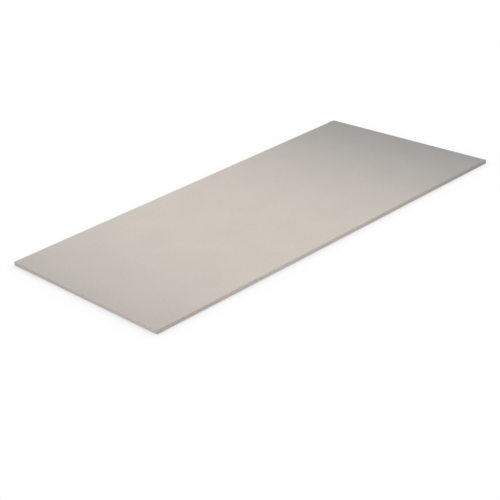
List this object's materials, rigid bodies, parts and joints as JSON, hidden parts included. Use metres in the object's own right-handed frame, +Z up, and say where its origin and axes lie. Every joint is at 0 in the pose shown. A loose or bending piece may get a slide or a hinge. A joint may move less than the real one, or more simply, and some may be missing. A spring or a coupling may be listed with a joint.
{
  "type": "ceiling board",
  "caption": "Flat rectangular ceiling board of through-coloured mineral board, cut square with lightly eased edges, for screwing up under joists or laying in a ceiling grid.",
  "frame": {"origin": "middle of the back face, which is also the bottom of the board as it lies on the floor", "axes": "+X along the length, +Y across the width, +Z up through the thickness to the face that the room sees"},
  "size_m": [1.2, 0.6, 0.01],
  "materials": {
    "mineral_board": "matte"
  },
  "bodies": {
    "root": {"ceiling_board": "mineral_board"}
  },
  "joints": []
}
